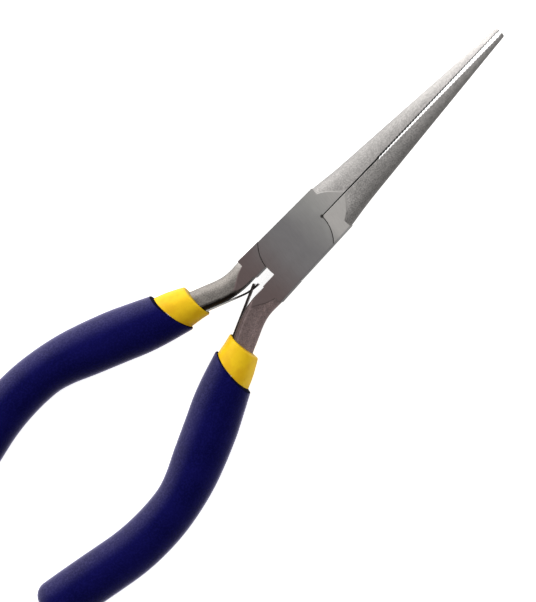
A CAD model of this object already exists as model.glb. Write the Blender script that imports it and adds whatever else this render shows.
import math

import bmesh
import bpy
from mathutils import Matrix, Vector


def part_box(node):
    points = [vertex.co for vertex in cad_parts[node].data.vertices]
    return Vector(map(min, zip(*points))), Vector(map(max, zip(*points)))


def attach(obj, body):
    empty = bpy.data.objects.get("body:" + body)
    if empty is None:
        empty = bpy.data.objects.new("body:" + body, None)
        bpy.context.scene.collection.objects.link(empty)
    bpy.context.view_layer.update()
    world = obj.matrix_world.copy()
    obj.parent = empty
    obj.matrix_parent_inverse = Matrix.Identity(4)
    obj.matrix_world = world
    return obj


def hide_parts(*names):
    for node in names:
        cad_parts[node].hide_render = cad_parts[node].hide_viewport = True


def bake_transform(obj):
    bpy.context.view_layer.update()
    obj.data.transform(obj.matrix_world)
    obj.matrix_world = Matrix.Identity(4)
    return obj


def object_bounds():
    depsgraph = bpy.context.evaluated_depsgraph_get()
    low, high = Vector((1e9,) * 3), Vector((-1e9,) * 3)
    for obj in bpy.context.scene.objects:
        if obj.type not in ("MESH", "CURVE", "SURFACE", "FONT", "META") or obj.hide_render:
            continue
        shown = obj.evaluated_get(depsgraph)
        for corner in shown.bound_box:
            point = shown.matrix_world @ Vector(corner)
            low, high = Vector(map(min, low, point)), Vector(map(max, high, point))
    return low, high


# Needle nose pliers. Sizes are in millimetres and become metres through MM where meshes are made.
# The steel halves and the rivets are the CAD's own nodes. The grips, their liners and the two leaf
# springs are built here along the same handle line.
MM = 0.001

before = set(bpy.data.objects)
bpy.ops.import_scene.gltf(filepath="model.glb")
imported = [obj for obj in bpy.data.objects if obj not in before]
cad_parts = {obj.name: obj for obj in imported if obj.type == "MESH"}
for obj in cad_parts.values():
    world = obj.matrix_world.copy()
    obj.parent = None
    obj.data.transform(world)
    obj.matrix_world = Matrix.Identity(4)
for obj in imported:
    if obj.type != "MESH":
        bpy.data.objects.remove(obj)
cad_low, cad_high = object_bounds()
joint_low, joint_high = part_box("pivot_rivet")
mid_height = (joint_low.z + joint_high.z) / 2 / MM
joint_half_height = (joint_high.z - joint_low.z) / 2 / MM

# How far each half is turned from jaws shut, at rest
rest_turn = math.radians(0.325)

# Camera: where the middle of the picture falls, and how the tool lies in the picture
picture_turn = math.radians(45.95)
picture_centre = Vector((-12.71, -3.85, mid_height)) * MM
camera_distance = 1200 * MM
camera_lens = 393.7
camera_sensor = 36
camera_nearest = 10 * MM
lean_forward = math.radians(5.0)
lean_side = math.radians(3.0)

# Floor: half its width and its gap below the tool in millimetres, its grey, and its own glow
floor_reach = 3000
floor_gap = 0.2
floor_grey = 0.9
floor_glow = 0.8

# Light: the bright side of the studio, its brightness overhead, how many times brighter it is
# towards that side, and the brightness of the backdrop that the camera sees
studio_side = (0.2, 1.0, 0.0)
studio_level = 0.53
studio_contrast = 3.2
backdrop_level = 0.95

# Lamps: place and size in metres, and power in watts
key_lamp = ("key", (0.05, 0.6, 0.28), (0.5, 0.4), 3.1)
fill_lamp = ("fill", (0.4, -0.3, 0.5), (0.4, 0.4), 1.0)

# Handle line of the half whose handle lies on the -Y side, jaws shut
handle_points = [Vector(p) for p in ((-5.0, -3.645), (-16.0, -3.645), (-59.2, -21.2), (-91.2, -14.6))]
handle_radii = (12.0, 45.0)

# Sleeve: distance along the handle, half width on the inner and outer side, half height
sleeve_rows = [
    (19.0, 4.6, 4.1, 4.3),
    (24.0, 5.15, 4.6, 4.7),
    (28.0, 5.55, 4.95, 5.0),
    (32.0, 5.72, 5.25, 5.15),
    (36.0, 5.62, 5.5, 5.2),
    (41.0, 5.52, 5.5, 5.15),
    (45.0, 5.4, 5.35, 5.1),
    (49.0, 5.02, 5.2, 5.05),
    (52.8, 4.75, 5.1, 5.0),
    (57.0, 4.88, 5.1, 5.0),
    (62.0, 5.05, 5.1, 5.0),
    (70.0, 5.15, 5.2, 5.05),
    (80.0, 5.2, 5.2, 5.1),
    (89.0, 5.1, 5.1, 5.0),
]

# Its front: the x it lies at, how far it leans back per millimetre outward, and how far it arches
# back at arch_height above or below the middle
sleeve_front = -28.1
sleeve_tilt = 0.12
sleeve_arch = 0.5
arch_height = 4.0

# Where it ends along the handle, and the radii of its lip and of its end
sleeve_end = 89.0
sleeve_lip = 0.4
sleeve_end_round = 3.0

# Faces that look further forward than this are the sleeve's bare front
sleeve_lip_facing = 0.55

# A grip's cross-section is a superellipse of this power
oval_power = 2.2

# The stretch of the handle in which a grip's front is looked for, and how often it is halved
front_search = (13.0, 40.0)
front_halvings = 40

# Liner: distance along the handle, half width on the inner and outer side, half height
liner_rows = [
    (13.0, 3.1, 3.1, 3.45),
    (18.0, 3.55, 3.55, 3.85),
    (23.5, 4.6, 4.15, 4.25),
    (27.5, 4.3, 4.1, 4.1),
    (45.0, 3.6, 3.6, 3.7),
    (86.5, 3.2, 3.2, 3.3),
]
liner_front = -22.8
liner_tilt = -0.05
liner_arch = 0.3
liner_end = 86.5
liner_lip = 0.35
liner_end_round = 1.0

# Steel shank inside the liner: distance, width, half height, inner edge radius, crown, fullness
shank_rows = [
    (0.0, 4.6, 4.6, 0.5, 0.02, 0.97),
    (5.0, 4.6, 4.4, 0.6, 0.06, 0.97),
    (9.5, 4.65, 3.85, 0.9, 0.14, 0.9),
    (13.0, 4.7, 3.3, 1.1, 0.16, 0.85),
    (18.0, 4.7, 2.9, 1.2, 0.16, 0.85),
    (26.0, 4.7, 2.75, 1.2, 0.12, 0.85),
    (40.0, 4.7, 2.7, 1.2, 0.1, 0.85),
    (60.0, 4.4, 2.5, 1.2, 0.1, 0.85),
    (84.0, 4.0, 2.3, 1.2, 0.1, 0.85),
]
shank_half_width = 2.35
tang_end = 84.0

# Where across the shank its crown ends and its outer side starts
shank_crown_share = 0.55

# Gap between the shank and the liner, and between the liner and the sleeve
fit = 0.04

# Leaf springs, in the same half's frame: the strip, its gap to the shank, and where its foot ends
leaf_thickness = 0.4
leaf_half_width = 1.5
leaf_standoff = 0.03
leaf_foot = 26.0
leaf_edge = 0.07
leaf_edge_angle = math.radians(50)
leaf_step = 0.35

# The pocket for a leaf's foot in the liner's bore
pocket_depth = 0.88
pocket_half_height = 1.6
pocket_end = 26.1

# The tongue: where it starts to curve, its tip, where it narrows, and its T head
tongue_bend_x = -15.5
leaf_tip = Vector((-11.5, 0.1))
tongue_taper = (-17.0, -14.6)
tongue_half_width = 0.55
head_half_width = 1.2
head_length = 0.7

# The slot in the other leaf
slot_x = (-14.5, -12.42)
slot_half_width = 0.75
slotted_leaf_end = -12.12

# The lap's round shoulders
shoulder_radius = 7.75

# Mesh density: points round a grip, steps over its rounded front or end, points round the shank's
# inner edge and outer side, and rings along each skin
ring_points = 96
rounding_steps = 7
shank_edge_points = 6
shank_side_points = 14
liner_bore_rings = 60
liner_outside_rings = 90
sleeve_bore_rings = 50
sleeve_outside_rings = 110


def make_object(name, mesh):
    """A new object in the scene, made of a mesh, a lamp or a camera."""
    piece = bpy.data.objects.new(name, mesh)
    bpy.context.scene.collection.objects.link(piece)
    return piece


# ---------------------------------------------------------------- camera, floor and light


def build_camera():
    """A camera above the tool, leaning a little towards the jaws and the -Y side."""
    view = Vector((-math.sin(lean_forward), math.sin(lean_side), -math.cos(lean_forward)))
    view.normalize()
    right = Vector((math.cos(picture_turn), -math.sin(picture_turn), 0))
    up = right.cross(view)
    up.normalize()
    right = view.cross(up)
    data = bpy.data.cameras.new("camera")
    data.lens = camera_lens
    data.sensor_fit = "HORIZONTAL"
    data.sensor_width = camera_sensor
    data.clip_start = camera_nearest
    camera = make_object("camera", data)
    rotation = Matrix((right, up, -view)).transposed().to_4x4()
    camera.matrix_world = Matrix.Translation(picture_centre - view * camera_distance) @ rotation
    bpy.context.scene.camera = camera


def build_floor():
    """A white floor that reflections don't see."""
    mesh = bpy.data.meshes.new("floor")
    grid = bmesh.new()
    bmesh.ops.create_grid(grid, x_segments=8, y_segments=8, size=floor_reach * MM)
    grid.to_mesh(mesh)
    grid.free()
    floor = make_object("floor", mesh)
    floor.location = (0, 0, cad_low.z - floor_gap * MM)
    material = bpy.data.materials.new("floor_white")
    material.use_nodes = True
    shader = material.node_tree.nodes["Principled BSDF"]
    shader.inputs["Base Color"].default_value = (floor_grey, floor_grey, floor_grey, 1)
    shader.inputs["Roughness"].default_value = 0.9
    shader.inputs["Emission Color"].default_value = (1, 1, 1, 1)
    shader.inputs["Emission Strength"].default_value = floor_glow
    mesh.materials.append(material)
    floor.visible_glossy = False


def area_light(name, place, size, power):
    """A soft lamp aimed at the tool, seen neither by the camera nor in reflections."""
    data = bpy.data.lights.new(name, "AREA")
    data.shape = "RECTANGLE"
    data.size, data.size_y = size
    data.energy = power
    light = make_object(name, data)
    light.location = place
    light.rotation_euler = (-Vector(place)).to_track_quat("-Z", "Y").to_euler()
    light.visible_camera = False
    light.visible_glossy = False


def build_light():
    """A soft studio: dark overhead, bright towards +Y, and dark low down towards -Y."""
    world = bpy.data.worlds.new("world")
    bpy.context.scene.world = world
    world.use_nodes = True
    tree = world.node_tree
    background = tree.nodes["Background"]
    where = tree.nodes.new("ShaderNodeTexCoord")
    side = tree.nodes.new("ShaderNodeVectorMath")
    side.operation = "DOT_PRODUCT"
    side.inputs[1].default_value = studio_side
    growth = tree.nodes.new("ShaderNodeMath")
    growth.operation = "POWER"
    growth.inputs[0].default_value = studio_contrast
    level = tree.nodes.new("ShaderNodeMath")
    level.operation = "MULTIPLY"
    level.inputs[1].default_value = studio_level
    seen = tree.nodes.new("ShaderNodeLightPath")
    choose = tree.nodes.new("ShaderNodeMix")
    choose.inputs["B"].default_value = backdrop_level
    tree.links.new(where.outputs["Generated"], side.inputs[0])
    tree.links.new(side.outputs["Value"], growth.inputs[1])
    tree.links.new(growth.outputs["Value"], level.inputs[0])
    tree.links.new(level.outputs["Value"], choose.inputs["A"])
    tree.links.new(seen.outputs["Is Camera Ray"], choose.inputs["Factor"])
    tree.links.new(choose.outputs["Result"], background.inputs["Color"])
    area_light(*key_lamp)
    area_light(*fill_lamp)
    bpy.context.scene.view_settings.view_transform = "Standard"


# ---------------------------------------------------------------- the handle line


def handle_runs():
    """The handle line as (length, turn per mm) runs: straights joined by tangent arcs."""
    headings = []
    for a, b in zip(handle_points, handle_points[1:]):
        headings.append(math.atan2(b.y - a.y, b.x - a.x) % (2 * math.pi))
    lengths = [(b - a).length for a, b in zip(handle_points, handle_points[1:])]
    turns = [b - a for a, b in zip(headings, headings[1:])]
    cuts = [r * math.tan(abs(t) / 2) for r, t in zip(handle_radii, turns)]
    runs = [(lengths[0] - cuts[0], 0.0)]
    for i, (radius, turn) in enumerate(zip(handle_radii, turns)):
        runs.append((radius * abs(turn), math.copysign(1 / radius, turn)))
        next_cut = cuts[i + 1] if i + 1 < len(cuts) else 0.0
        runs.append((lengths[i + 1] - cuts[i] - next_cut, 0.0))
    return headings[0], runs


start_heading, runs_of_handle = handle_runs()


def handle_at(distance):
    """Point on the handle line and its direction, in plan."""
    point, heading = handle_points[0].copy(), start_heading
    for i, (length, bend) in enumerate(runs_of_handle):
        last = i == len(runs_of_handle) - 1
        part = distance if last else min(distance, length)
        turned = heading + bend * part
        if bend:
            rise = math.sin(turned) - math.sin(heading)
            drop = math.cos(heading) - math.cos(turned)
            point += Vector((rise, drop)) / bend
        else:
            point += Vector((math.cos(heading), math.sin(heading))) * part
        heading = turned
        distance -= part
        if distance <= 0:
            break
    return point, heading


def smooth_row(rows, distance):
    """Sizes at a distance, by a smooth curve through the rows."""
    distance = max(rows[0][0], min(rows[-1][0], distance))
    i = 0
    while i < len(rows) - 2 and distance > rows[i + 1][0]:
        i += 1
    before, after = rows[i], rows[i + 1]
    first, last = rows[max(i - 1, 0)], rows[min(i + 2, len(rows) - 1)]
    span = after[0] - before[0]
    t = (distance - before[0]) / span
    sizes = []
    for k in range(1, len(before)):
        slope_a = (after[k] - first[k]) / (after[0] - first[0]) * span
        slope_b = (last[k] - before[k]) / (last[0] - before[0]) * span
        sizes.append(
            (2 * t**3 - 3 * t**2 + 1) * before[k]
            + (t**3 - 2 * t**2 + t) * slope_a
            + (3 * t**2 - 2 * t**3) * after[k]
            + (t**3 - t**2) * slope_b
        )
    return sizes


def straight_row(rows, distance):
    """Sizes at a distance, read straight between the rows."""
    for before, after in zip(rows, rows[1:]):
        if distance <= after[0]:
            break
    share = max(0.0, min(1.0, (distance - before[0]) / (after[0] - before[0])))
    return [a + (b - a) * share for a, b in zip(before[1:], after[1:])]


def on_section(distance, across, up):
    """A point given across the handle (outward) and up, at a distance along it."""
    point, heading = handle_at(distance)
    outward = Vector((-math.sin(heading), math.cos(heading)))
    place = point + outward * across
    return Vector((place.x, place.y, mid_height + up))


def oval(rows, distance, angle):
    """Across and up on a grip's oval, with its own inner and outer half width."""
    inner, outer, half_height = smooth_row(rows, distance)
    c, s = math.cos(angle), math.sin(angle)
    power = 2 / oval_power
    across = math.copysign(abs(c) ** power, c) * (outer if c > 0 else inner)
    up = math.copysign(abs(s) ** power, s) * half_height
    return across, up


def bezier(points, count):
    """Points along a Bezier curve, its first point left out."""
    result = []
    for i in range(1, count + 1):
        level = [Vector(p) for p in points]
        t = i / count
        while len(level) > 1:
            level = [a.lerp(b, t) for a, b in zip(level, level[1:])]
        result.append(level[0])
    return result


def forged_outline(width, half_height, edge_radius, crown, fullness):
    """Upper half of the shank's outline, from its flat inner wall to its round outer side."""
    inner, outer = -width / 2, width / 2
    crown_at = inner + shank_crown_share * (outer - inner)
    crown_end = (crown_at, half_height - crown * (crown_at - inner))
    shoulder = (outer, fullness * half_height)
    line = [Vector((inner, 0)), Vector((inner, half_height - edge_radius))]
    line += bezier([line[-1], (inner, half_height), (inner + edge_radius, half_height)], shank_edge_points)
    line += bezier([line[-1], crown_end, shoulder, (outer, 0)], shank_side_points)
    return line


def ray_length(line, angle):
    """How far the outline is from the handle line in a direction; the outline's halves mirror."""
    c, s = math.cos(angle), abs(math.sin(angle))
    best = 0.0
    for a, b in zip(line, line[1:]):
        edge = b - a
        cross = c * edge.y - s * edge.x
        if abs(cross) < 1e-12:
            continue
        reach = (a.x * edge.y - a.y * edge.x) / cross
        along = (a.x * s - a.y * c) / cross
        if reach > 0 and -1e-6 <= along <= 1 + 1e-6:
            best = max(best, reach)
    return best


def bore(distance, angle):
    """Across and up on the liner's bore: the shank, with a pocket for the leaf's foot."""
    line = forged_outline(*straight_row(shank_rows, distance))
    reach = ray_length(line, angle) + fit
    c, s = math.cos(angle), math.sin(angle)
    if distance < pocket_end and c < 0:
        depth = -line[0].x + pocket_depth
        pocket = min(depth / -c, pocket_half_height / max(abs(s), 1e-9))
        reach = max(reach, pocket)
    return c * reach, s * reach


def front_distance(section, front, tilt, arch, angle):
    """Where a section's point at an angle meets the tilted and arched front, along the handle."""
    near, far = front_search
    for _ in range(front_halvings):
        middle = (near + far) / 2
        across, up = section(middle, angle)
        place = on_section(middle, across, up)
        limit = front - tilt * across - arch * (up / arch_height) ** 2
        if place.x > limit:
            near = middle
        else:
            far = middle
    return near


angles = [2 * math.pi * i / ring_points for i in range(ring_points)]


def skin(section, fronts, end, shares, sink):
    """Rings from the front to the end. sink(depth) is how far a ring is pulled in at a depth."""
    rings = []
    for share in shares:
        ring = []
        for angle, front in zip(angles, fronts):
            distance = front + (end - front) * share
            across, up = section(distance, angle)
            radius = math.hypot(across, up)
            factor = 1 - sink(distance - front, end - distance) / radius
            ring.append(on_section(distance, across * factor, up * factor))
        rings.append(ring)
    return rings


def rounding(front_round, end_round):
    """How far a rounded front and end pull a skin in."""

    def sink(from_front, from_end):
        pulled = 0.0
        for depth, radius in ((from_front, front_round), (from_end, end_round)):
            if depth < radius:
                pulled += radius - math.sqrt(max(0.0, radius**2 - (radius - depth) ** 2))
        return pulled

    return sink


def spaced(length, front_round, end_round, count):
    """Shares along a skin, close together over its rounded front and end."""
    depths = [1 - math.cos(math.pi / 2 * i / rounding_steps) for i in range(rounding_steps)]
    front = [front_round * depth for depth in depths]
    end = [length - end_round * depth for depth in depths]
    middle_start, middle_end = front_round, length - end_round
    middle = [middle_start + (middle_end - middle_start) * i / count for i in range(count + 1)]
    return [d / length for d in front + middle + end[::-1]]


def even_shares(count):
    """Evenly spaced shares, both ends included."""
    return [i / count for i in range(count + 1)]


def not_rounded(from_front, from_end):
    """The sink of a skin without rounding."""
    return 0.0


def loft_rings(name, rings):
    """A closed mesh through rings, each end closed by a fan."""
    mesh = bpy.data.meshes.new(name)
    work = bmesh.new()
    made = [[work.verts.new(p * MM) for p in ring] for ring in rings]
    for ring, following in zip(made, made[1:]):
        for i in range(len(ring)):
            j = (i + 1) % len(ring)
            work.faces.new((ring[i], ring[j], following[j], following[i]))
    for ring in (made[0], made[-1]):
        middle = work.verts.new(sum((v.co for v in ring), Vector()) / len(ring))
        for i in range(len(ring)):
            work.faces.new((ring[i], ring[(i + 1) % len(ring)], middle))
    bmesh.ops.recalc_face_normals(work, faces=work.faces)
    for face in work.faces:
        face.smooth = True
    work.to_mesh(mesh)
    work.free()
    return mesh


def place_half(mesh, upper):
    """Turn a mesh drawn with the jaws shut to its place at rest, on either half."""
    if upper:
        mesh.transform(Matrix.Rotation(rest_turn, 4, "Z"))
    else:
        middle = Matrix.Translation((0, 0, mid_height * MM))
        mesh.transform(middle @ Matrix.Rotation(math.pi, 4, "X") @ middle.inverted())
        mesh.transform(Matrix.Rotation(-rest_turn, 4, "Z"))
    return mesh


# ---------------------------------------------------------------- grips


def liner_outside(distance, angle):
    """Across and up on the liner's outside."""
    return oval(liner_rows, distance, angle)


def liner_seat(distance, angle):
    """Across and up on the sleeve's bore, a small gap outside the liner."""
    across, up = oval(liner_rows, distance, angle)
    factor = 1 + fit / math.hypot(across, up)
    return across * factor, up * factor


def sleeve_outside(distance, angle):
    """Across and up on the sleeve's outside."""
    return oval(sleeve_rows, distance, angle)


def build_liner(half, material):
    """The yellow liner: a thick cup over the tang whose front stands out as a collar."""
    front = (liner_front, liner_tilt, liner_arch)
    inside_fronts = [front_distance(bore, *front, angle) for angle in angles]
    outside_fronts = [front_distance(liner_outside, *front, angle) for angle in angles]
    inside = skin(bore, inside_fronts, tang_end + fit, even_shares(liner_bore_rings), not_rounded)
    length = liner_end - min(outside_fronts)
    outside = skin(
        liner_outside,
        outside_fronts,
        liner_end,
        spaced(length, liner_lip, liner_end_round, liner_outside_rings),
        rounding(liner_lip, liner_end_round),
    )
    mesh = place_half(loft_rings(f"{half}_grip_liner", inside[::-1] + outside), half == "upper")
    mesh.materials.append(material)
    liner = make_object(f"{half}_grip_liner", mesh)
    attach(liner, half)
    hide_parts(f"{half}_half_liner")


def build_sleeve(half, material, lip_material):
    """The blue sleeve: a thick cup over the liner with a rounded lip and end."""
    front = (sleeve_front, sleeve_tilt, sleeve_arch)
    inside_fronts = [front_distance(liner_seat, *front, angle) for angle in angles]
    outside_fronts = [front_distance(sleeve_outside, *front, angle) for angle in angles]
    shares = even_shares(sleeve_bore_rings)
    inside = skin(liner_seat, inside_fronts, liner_end + fit, shares, not_rounded)
    length = sleeve_end - min(outside_fronts)
    outside = skin(
        sleeve_outside,
        outside_fronts,
        sleeve_end,
        spaced(length, sleeve_lip, sleeve_end_round, sleeve_outside_rings),
        rounding(sleeve_lip, sleeve_end_round),
    )
    mesh = place_half(loft_rings(f"{half}_grip_sleeve", inside[::-1] + outside), half == "upper")
    mesh.materials.append(material)
    mesh.materials.append(lip_material)
    for polygon in mesh.polygons:
        polygon.material_index = int(polygon.normal.x > sleeve_lip_facing)
    sleeve = make_object(f"{half}_grip_sleeve", mesh)
    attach(sleeve, half)
    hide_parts(f"{half}_half_sleeve")


# ---------------------------------------------------------------- leaf springs


def leaf_line(bent, stations):
    """Points and outward normals of a leaf's centre line at the given x values."""
    foot, heading = handle_at(leaf_foot)
    outward = Vector((-math.sin(heading), math.cos(heading)))
    forward = -Vector((math.cos(heading), math.sin(heading)))
    back = foot - outward * (shank_half_width + leaf_standoff + leaf_thickness / 2)
    front = back + forward * ((tongue_bend_x - back.x) / forward.x)
    chord = leaf_tip - front
    half_turn = math.atan2(chord.y, chord.x) - math.atan2(forward.y, forward.x)
    radius = chord.length / (2 * math.sin(abs(half_turn)))
    side = Vector((-forward.y, forward.x)) * math.copysign(1, half_turn)
    centre = front + side * radius
    line = []
    for x in stations:
        if not bent or x <= front.x:
            line.append((back + forward * ((x - back.x) / forward.x), outward))
            continue
        rise = x - centre.x
        drop = math.sqrt(radius**2 - rise**2)
        place = Vector((x, centre.y - math.copysign(drop, side.y)))
        normal = (place - centre).normalized()
        if normal.dot(outward) < 0:
            normal = -normal
        line.append((place, normal))
    return line, back.x


def stations_through(stops, step):
    """Values from the first stop to the last that pass through every stop."""
    values = [stops[0]]
    for a, b in zip(stops, stops[1:]):
        count = max(1, round((b - a) / step))
        values += [a + (b - a) * i / count for i in range(1, count + 1)]
    return values


def leaf_mesh(name, bent, stops, half_width, columns, is_open, wings):
    """A leaf: a plate of cells on its line, thickened, with softened edges."""
    _, start_x = leaf_line(bent, [])
    stations = stations_through([start_x] + stops, leaf_step)
    line, _ = leaf_line(bent, stations)
    work = bmesh.new()
    rows = []
    for x, (place, _) in zip(stations, line):
        row = []
        for column in columns:
            up = column * half_width(x)
            row.append(work.verts.new(Vector((place.x, place.y, mid_height + up)) * MM))
        rows.append(row)
    for i, (row, following) in enumerate(zip(rows, rows[1:])):
        x = (stations[i] + stations[i + 1]) / 2
        for j in range(len(columns) - 1):
            if not is_open(x, (columns[j] + columns[j + 1]) / 2):
                work.faces.new((row[j], row[j + 1], following[j + 1], following[j]))
    if wings:
        head = [i for i, x in enumerate(stations) if x >= stops[-2] - 1e-9]
        for edge, sign in ((0, -1), (-1, 1)):
            tips = []
            for i in head:
                place = line[i][0]
                top = Vector((place.x, place.y, mid_height + sign * head_half_width)) * MM
                tips.append(work.verts.new(top))
            for a, b, low, high in zip(head, head[1:], tips, tips[1:]):
                work.faces.new((rows[a][edge], rows[b][edge], high, low))
    bmesh.ops.recalc_face_normals(work, faces=work.faces)
    mesh = bpy.data.meshes.new(name)
    work.to_mesh(mesh)
    work.free()
    piece = make_object(name, mesh)
    solid = piece.modifiers.new("thickness", "SOLIDIFY")
    solid.thickness = leaf_thickness * MM
    solid.offset = 0
    solid.use_even_offset = True
    soft = piece.modifiers.new("edges", "BEVEL")
    soft.width = leaf_edge * MM
    soft.segments = 2
    soft.limit_method = "ANGLE"
    soft.angle_limit = leaf_edge_angle
    shown = piece.evaluated_get(bpy.context.evaluated_depsgraph_get())
    piece.data = bpy.data.meshes.new_from_object(shown)
    piece.modifiers.clear()
    for polygon in piece.data.polygons:
        polygon.use_smooth = True
    return piece


def finish_leaf(piece, half, node, material):
    """Turn a leaf to its half, and bend it between its foot and its free end."""
    upper = half == "upper"
    place_half(piece.data, upper)
    piece.data.materials.clear()
    piece.data.materials.append(material)
    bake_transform(piece)
    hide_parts(node)


def build_springs(tongue_strip, slotted_strip):
    """The two leaves: a tongue with a T head, and a leaf whose slot holds it."""

    def tongue_width(x):
        start, end = tongue_taper
        share = max(0.0, min(1.0, (x - start) / (end - start)))
        return leaf_half_width + (tongue_half_width - leaf_half_width) * share

    tongue = leaf_mesh(
        "tongue_leaf",
        True,
        [*tongue_taper, leaf_tip.x - head_length, leaf_tip.x],
        tongue_width,
        (-1, -0.5, 0, 0.5, 1),
        lambda x, column: False,
        True,
    )
    finish_leaf(tongue, "lower", "tongue_spring", tongue_strip)
    share = slot_half_width / leaf_half_width
    slotted = leaf_mesh(
        "slotted_leaf",
        False,
        [*slot_x, slotted_leaf_end],
        lambda x: leaf_half_width,
        (-1, -share, 0, share, 1),
        lambda x, column: slot_x[0] < x < slot_x[1] and abs(column) < share,
        False,
    )
    finish_leaf(slotted, "upper", "slotted_spring", slotted_strip)


# ---------------------------------------------------------------- materials

# Most of a noise texture's values lie in this span
noise_span = (0.3, 0.7)

# The joint's ground sides run between these x values, each end blending over a short way
joint_sides = (-11.0, 10.3)
side_blend = 0.1

# Tones of the joint's ground faces, from the handles to the jaws, and where each gives way to the next
ground_rear = (0.2, 0.152, 0.148)
ground_middle = (0.285, 0.275, 0.28)
ground_front = (0.47, 0.465, 0.45)
rear_to_middle = (-12.0, 0.0)
middle_to_front = (0.0, 9.5)
grinding_turn = math.radians(7)
grinding_dark = (0.86, 0.86, 0.86)
grinding_light = (1.14, 1.135, 1.13)
ground_roughness = (0.3, 0.4)

# Tones of the blasted faces, and where the shank's gives way to the jaw's
jaw_steel = (0.60, 0.575, 0.555)
shank_to_jaw = (-12.5, -9.0)
jaw_root_to_tip = (25.0, 58.0)
blasted_roughness = (0.42, 0.52)
worn_steel = (0.7, 0.69, 0.67)
soot = (0.018, 0.013, 0.011)

# Distances from the pivot between which the edges start to be worn, outside the rivet
wear_start = (3.9, 4.3)


class Recipe:
    """A material being made, with one short call for each kind of node it needs."""

    def __init__(self, name):
        self.material = bpy.data.materials.new(name)
        self.material.use_nodes = True
        self.tree = self.material.node_tree
        self.shader = self.tree.nodes["Principled BSDF"]

    def add(self, kind, inputs, **settings):
        """A node with its inputs fed by name or number, and its settings made."""
        made = self.tree.nodes.new(kind)
        for key, value in settings.items():
            setattr(made, key, value)
        for key, value in inputs.items():
            self.feed(made.inputs[key], value)
        return made

    def feed(self, socket, value):
        """Link a socket to another, or set its value."""
        if isinstance(value, bpy.types.NodeSocket):
            self.tree.links.new(value, socket)
        else:
            socket.default_value = value

    def place(self, stretch=(1, 1, 1), turn=0.0):
        """Object coordinates in millimetres, turned about Z and then stretched."""
        where = self.add("ShaderNodeTexCoord", {}).outputs["Object"]
        inputs = {"Vector": where, "Rotation": (0, 0, turn), "Scale": (1 / MM, 1 / MM, 1 / MM)}
        turned = self.add("ShaderNodeMapping", inputs).outputs["Vector"]
        stretched = self.add("ShaderNodeMapping", {"Vector": turned, "Scale": stretch})
        return stretched.outputs["Vector"]

    def axis(self, name):
        """One coordinate of the object, in millimetres."""
        return self.add("ShaderNodeSeparateXYZ", {"Vector": self.place()}).outputs[name]

    def facing(self, name):
        """One part of the surface's normal, in the object's frame."""
        normal = self.add("ShaderNodeTexCoord", {}).outputs["Normal"]
        return self.add("ShaderNodeSeparateXYZ", {"Vector": normal}).outputs[name]

    def maths(self, operation, *values):
        """A sum on plain values."""
        return self.add("ShaderNodeMath", dict(enumerate(values)), operation=operation).outputs["Value"]

    def product(self, first, *others):
        """All the values multiplied together."""
        for other in others:
            first = self.maths("MULTIPLY", first, other)
        return first

    def largest(self, first, *others):
        """The largest of the values."""
        for other in others:
            first = self.maths("MAXIMUM", first, other)
        return first

    def magnitude(self, value):
        """A value without its sign."""
        return self.maths("ABSOLUTE", value)

    def noise(self, vector, scale, detail=2.0):
        """A noise texture's grey, its scale in cells per millimetre."""
        inputs = {"Vector": vector, "Scale": scale, "Detail": detail}
        return self.add("ShaderNodeTexNoise", inputs).outputs["Fac"]

    def fade(self, value, start, end, low=0.0, high=1.0):
        """low up to start, high from end on, and a smooth step between."""
        inputs = {"Value": value, "From Min": start, "From Max": end, "To Min": low, "To Max": high}
        return self.add("ShaderNodeMapRange", inputs, interpolation_type="SMOOTHSTEP").outputs["Result"]

    def mix(self, share, a, b, how="MIX"):
        """Two colours, or two values as greys, mixed by a share."""
        a, b = ((*c, 1) if isinstance(c, tuple) else c for c in (a, b))
        inputs = {0: share, 6: a, 7: b}
        return self.add("ShaderNodeMix", inputs, data_type="RGBA", blend_type=how).outputs[2]

    def tint(self, colour, other):
        """Two colours multiplied together."""
        return self.mix(1.0, colour, other, "MULTIPLY")

    def shade(self, colour, value, start, end, low, high):
        """A colour multiplied by a grey that fades from low to high."""
        part = self.fade(value, start, end, low, high)
        grey = self.add("ShaderNodeCombineColor", {0: part, 1: part, 2: part}).outputs["Color"]
        return self.tint(colour, grey)

    def bump(self, height, depth, strength=1.0, normal=None):
        """A normal pushed about by a height, whose full depth is in millimetres."""
        inputs = {"Height": height, "Distance": depth * MM, "Strength": strength}
        if normal is not None:
            inputs["Normal"] = normal
        return self.add("ShaderNodeBump", inputs).outputs["Normal"]

    def soft_edge(self, radius, share=1.0):
        """A normal that rounds sharp edges over by a share, and how near an edge is."""
        rounded = self.add("ShaderNodeBevel", {"Radius": radius * MM}, samples=4).outputs["Normal"]
        flat = self.add("ShaderNodeNewGeometry", {}).outputs["Normal"]
        inputs = {0: rounded, 1: flat}
        same = self.add("ShaderNodeVectorMath", inputs, operation="DOT_PRODUCT").outputs["Value"]
        normal = self.add("ShaderNodeMix", {0: share, 4: flat, 5: rounded}, data_type="VECTOR").outputs[1]
        return normal, self.product(share, self.fade(same, 0.98, 0.8))

    def set(self, **values):
        """Feed the shader's own sockets, by their names with underscores for spaces."""
        for name, value in values.items():
            if isinstance(value, tuple) and len(value) == 3:
                value = (*value, 1)
            self.feed(self.shader.inputs[name.replace("_", " ")], value)
        return self.material


def ground_finish(recipe):
    """Fine lines across a ground face: a colour to multiply by, and the lines themselves."""
    lines = recipe.noise(recipe.place(stretch=(3.2, 0.25, 1.0), turn=grinding_turn), scale=2.0, detail=3.0)
    return recipe.mix(lines, grinding_dark, grinding_light), lines


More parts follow.
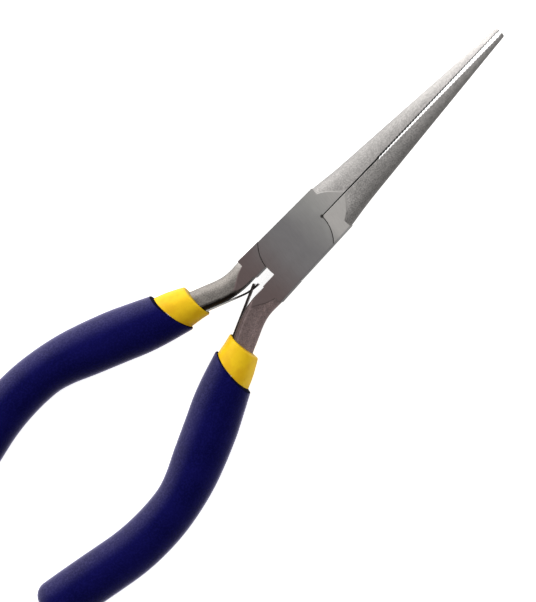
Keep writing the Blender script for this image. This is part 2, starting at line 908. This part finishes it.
def ground_colour(recipe):
    """A ground face, brownish towards the handles and brighter towards the jaws."""
    blotch = recipe.noise(recipe.place(), scale=0.22, detail=3.0)
    drift = recipe.product(recipe.maths("SUBTRACT", blotch, 0.5), 5.0)
    along = recipe.maths("ADD", recipe.axis("X"), drift)
    rear = recipe.mix(recipe.fade(along, *rear_to_middle), ground_rear, ground_middle)
    return recipe.mix(recipe.fade(along, *middle_to_front), rear, ground_front)


def ground_mask(steel, along, height, facing):
    """1 on the joint's ground faces, which are its flats and its sides, and 0 elsewhere."""
    flats = steel.fade(steel.magnitude(height), joint_half_height - 0.1, joint_half_height - 0.02)
    rear, front = joint_sides
    sides = steel.product(
        steel.fade(along, rear - side_blend, rear + side_blend),
        steel.fade(along, front + side_blend, front - side_blend),
        steel.fade(steel.magnitude(facing), 0.95, 0.99),
    )
    return steel.largest(flats, sides)


def seam_dirt(steel, along, side, height, from_pivot):
    """Where dirt lies in the lap's seams: its round shoulders, the straight seam in front and its corner."""
    lap_side = steel.product(along, side, height)
    off_arc = steel.magnitude(steel.maths("SUBTRACT", from_pivot, shoulder_radius))
    arc = steel.product(steel.fade(off_arc, 0.15, 0.04), steel.maths("LESS_THAN", lap_side, 0.0), 0.6)
    seam = steel.product(steel.fade(steel.magnitude(side), 0.16, 0.05), steel.fade(along, 7.5, 7.7))
    inputs = {0: steel.place(stretch=(1, 1, 0)), 1: (shoulder_radius, 0, 0)}
    off_corner = steel.add("ShaderNodeVectorMath", inputs, operation="DISTANCE").outputs["Value"]
    return steel.product(steel.largest(arc, seam, steel.fade(off_corner, 0.5, 0.22)), 0.85)


def steel_material(half, shank_tone, shank_soot, pad_fade, pad_tone, lip_tone, jaw_shades):
    """Sandblasted forging with ground joint faces, tarnished and sooty towards the handles.

    pad_fade is where the ground flat turns to pad_tone in front, lip_tone is the jaw's inner lip,
    and jaw_shades are how much of jaw_steel's tone the jaw has at its root and at its tip.
    """
    steel = Recipe(f"{half}_forging")
    along, side, up = (steel.axis(name) for name in "XYZ")
    height = steel.maths("SUBTRACT", up, mid_height)
    squares = steel.maths("ADD", steel.product(along, along), steel.product(side, side))
    from_pivot = steel.maths("SQRT", squares)
    facing = steel.facing("Y")
    # towards the other handle on the shank, and towards the other jaw on the jaw
    shank_inward = steel.product(facing, -1.0 if half == "lower" else 1.0)
    jaw_inward = steel.product(shank_inward, -1.0)
    on_shank, on_jaw = steel.fade(along, -15.0, -16.5), steel.fade(along, 11.0, 13.0)
    ground = ground_mask(steel, along, height, facing)
    streaks, lines = ground_finish(steel)
    flat = steel.tint(steel.mix(steel.fade(along, *pad_fade), ground_colour(steel), pad_tone), streaks)
    # blasted faces, brighter where handling has polished the shank's outer side
    grain = steel.noise(steel.place(), scale=4.2, detail=1.0)
    coarse = steel.noise(steel.place(), scale=0.9, detail=2.0)
    shank = steel.shade(shank_tone, jaw_inward, 0.15, 0.6, low=1.0, high=2.15)
    jaw = steel.shade(jaw_steel, along, *jaw_root_to_tip, *jaw_shades)
    jaw = steel.shade(jaw, facing, -0.3, 0.3, low=0.88, high=1.12)
    blasted = steel.mix(steel.fade(along, *shank_to_jaw), shank, jaw)
    blasted = steel.shade(blasted, grain, *noise_span, low=0.76, high=1.24)
    blasted = steel.shade(blasted, coarse, *noise_span, low=0.94, high=1.06)
    colour = steel.mix(ground, blasted, flat)
    normal, edge = steel.soft_edge(radius=0.16, share=steel.fade(from_pivot, *wear_start))
    worn = steel.product(edge, steel.fade(coarse, 0.35, 0.6, low=0.1, high=0.5))
    colour = steel.mix(worn, colour, worn_steel)
    dirt = seam_dirt(steel, along, side, height, from_pivot)
    colour = steel.mix(steel.product(dirt, ground), colour, soot)
    lip = steel.product(steel.fade(jaw_inward, 0.15, 0.45), on_jaw, 0.9)
    colour = steel.mix(lip, colour, lip_tone)
    # soot on the gripping face, and on the shank where the spring is seated
    grip = steel.product(steel.fade(jaw_inward, 0.86, 0.97, low=0.0, high=0.8), on_jaw)
    seat = steel.product(steel.fade(shank_inward, 0.08, 0.22, low=0.0, high=shank_soot), on_shank)
    colour = steel.mix(steel.largest(grip, seat), colour, soot)
    rough_blasted = steel.fade(grain, *noise_span, *blasted_roughness)
    rough_ground = steel.fade(lines, *noise_span, *ground_roughness)
    rough = steel.mix(ground, rough_blasted, rough_ground)
    relief = steel.mix(ground, grain, steel.product(lines, 0.2))
    normal = steel.bump(relief, depth=0.03, strength=0.5, normal=normal)
    return steel.set(Base_Color=colour, Metallic=1.0, Roughness=rough, Normal=normal)


def rivet_material():
    """A rivet peened over and ground flush, with the joint's own finish."""
    rivet = Recipe("ground_rivet")
    streaks, lines = ground_finish(rivet)
    colour = rivet.tint(ground_colour(rivet), streaks)
    rough = rivet.fade(lines, *noise_span, *ground_roughness)
    normal = rivet.bump(lines, depth=0.006, strength=0.5)
    return rivet.set(Base_Color=colour, Metallic=1.0, Roughness=rough, Normal=normal)


def spring_material(name, bright_edge):
    """Bright rolled strip with fine lines along the leaf, and dark sheared edges.

    bright_edge is how far the sheared edges are polished in the part that rubs near the collar.
    """
    light_line, dark_line, tarnish = (0.8, 0.79, 0.78), (0.5, 0.49, 0.47), (0.5, 0.46, 0.42)
    sheared_dark, sheared_bright = (0.05, 0.042, 0.04), (0.85, 0.83, 0.8)
    spring = Recipe(name)
    lines = spring.noise(spring.place(stretch=(0.4, 2.0, 7.0)), scale=2.2, detail=2.0)
    cloud = spring.noise(spring.place(), scale=0.8, detail=2.0)
    colour = spring.mix(lines, dark_line, light_line)
    colour = spring.mix(spring.fade(cloud, 0.4, 0.75, low=0.0, high=0.35), colour, tarnish)
    sheared = spring.fade(spring.magnitude(spring.facing("Z")), 0.3, 0.7)
    polish = spring.fade(spring.axis("X"), -16.0, -18.0, low=0.0, high=bright_edge)
    colour = spring.mix(sheared, colour, spring.mix(polish, sheared_dark, sheared_bright))
    rough = spring.fade(lines, *noise_span, low=0.24, high=0.4)
    normal = spring.bump(lines, depth=0.006, strength=0.5)
    return spring.set(Base_Color=colour, Metallic=1.0, Roughness=rough, Normal=normal)


def liner_material():
    """Satin dipped vinyl: an even yellow that deepens here and there, with a faint orange-peel."""
    yellow, deep_yellow, speck = (0.78, 0.50, 0.006), (0.70, 0.40, 0.004), (0.45, 0.24, 0.01)
    liner = Recipe("yellow_vinyl")
    cloud = liner.noise(liner.place(), scale=0.35, detail=3.0)
    peel = liner.noise(liner.place(), scale=1.6, detail=2.0)
    specks = liner.noise(liner.place(), scale=5.0, detail=1.0)
    colour = liner.mix(liner.fade(cloud, 0.35, 0.7), yellow, deep_yellow)
    colour = liner.mix(liner.fade(specks, 0.66, 0.74, low=0.0, high=0.3), colour, speck)
    rough = liner.fade(peel, *noise_span, low=0.36, high=0.5)
    normal = liner.bump(peel, depth=0.03, strength=0.35)
    return liner.set(Specular_IOR_Level=0.22, Base_Color=colour, Roughness=rough, Normal=normal)


def sleeve_material():
    """Soft fine-grained sleeve: near black in its depth, with a dull lavender sheen at its edges."""
    deep_blue, pale_blue = (0.0004, 0.0003, 0.042), (0.0016, 0.0012, 0.056)
    grain_blue, dust = (0.005, 0.0045, 0.085), (0.26, 0.24, 0.36)
    sheen_tint = (0.75, 0.72, 1.0)
    sleeve = Recipe("blue_rubber")
    pebble = sleeve.add("ShaderNodeTexVoronoi", {"Vector": sleeve.place(), "Scale": 2.6}).outputs["Distance"]
    fine = sleeve.noise(sleeve.place(), scale=3.6, detail=2.0)
    cloud = sleeve.noise(sleeve.place(), scale=0.16, detail=3.0)
    grain = sleeve.maths("ADD", sleeve.product(pebble, 0.7), fine)
    colour = sleeve.mix(sleeve.fade(cloud, 0.35, 0.7), deep_blue, pale_blue)
    colour = sleeve.mix(sleeve.fade(grain, 0.75, 1.1, low=0.0, high=0.5), colour, grain_blue)
    dusty = sleeve.product(sleeve.fade(sleeve.facing("Y"), 0.1, 0.8, low=0.0, high=0.13), grain)
    colour = sleeve.mix(dusty, colour, dust)
    rough = sleeve.fade(fine, *noise_span, low=0.5, high=0.66)
    normal = sleeve.bump(grain, depth=0.05, strength=0.8)
    sleeve.set(Specular_IOR_Level=0.05, Sheen_Weight=0.95, Sheen_Roughness=0.3, Sheen_Tint=sheen_tint)
    return sleeve.set(Base_Color=colour, Roughness=rough, Normal=normal)


def sleeve_lip_material():
    """The sleeve's bare front, dark and without the skin's sheen."""
    black, near_black = (0.0004, 0.0003, 0.012), (0.001, 0.0008, 0.02)
    lip = Recipe("blue_rubber_lip")
    fine = lip.noise(lip.place(), scale=3.6, detail=2.0)
    rough = lip.fade(fine, *noise_span, low=0.7, high=0.85)
    normal = lip.bump(fine, depth=0.05, strength=0.8)
    colour = lip.mix(fine, black, near_black)
    return lip.set(Specular_IOR_Level=0.05, Base_Color=colour, Roughness=rough, Normal=normal)


def paint(node, material):
    """Give one of the CAD's own nodes its material."""
    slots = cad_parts[node].data.materials
    slots.clear()
    slots.append(material)


build_camera()
build_floor()
build_light()

upper_steel = steel_material(
    "upper",
    shank_tone=(0.31, 0.232, 0.226),
    shank_soot=0.5,
    pad_fade=(7.0, 13.0),
    pad_tone=(0.58, 0.56, 0.54),
    lip_tone=soot,
    jaw_shades=(0.65, 1.1),
)
lower_steel = steel_material(
    "lower",
    shank_tone=(0.16, 0.147, 0.135),
    shank_soot=0.96,
    pad_fade=(5.0, 8.5),
    pad_tone=(0.66, 0.635, 0.61),
    lip_tone=(0.92, 0.9, 0.88),
    jaw_shades=(1.22, 1.6),
)
paint("upper_half", upper_steel)
paint("lower_half", lower_steel)
rivet = rivet_material()
for name in ("pivot_rivet", "slotted_spring_rivet", "tongue_spring_rivet"):
    paint(name, rivet)
yellow = liner_material()
blue, blue_lip = sleeve_material(), sleeve_lip_material()
for half in ("upper", "lower"):
    build_liner(half, yellow)
    build_sleeve(half, blue, blue_lip)
build_springs(spring_material("tongue_strip", 1.0), spring_material("slotted_strip", 0.0))
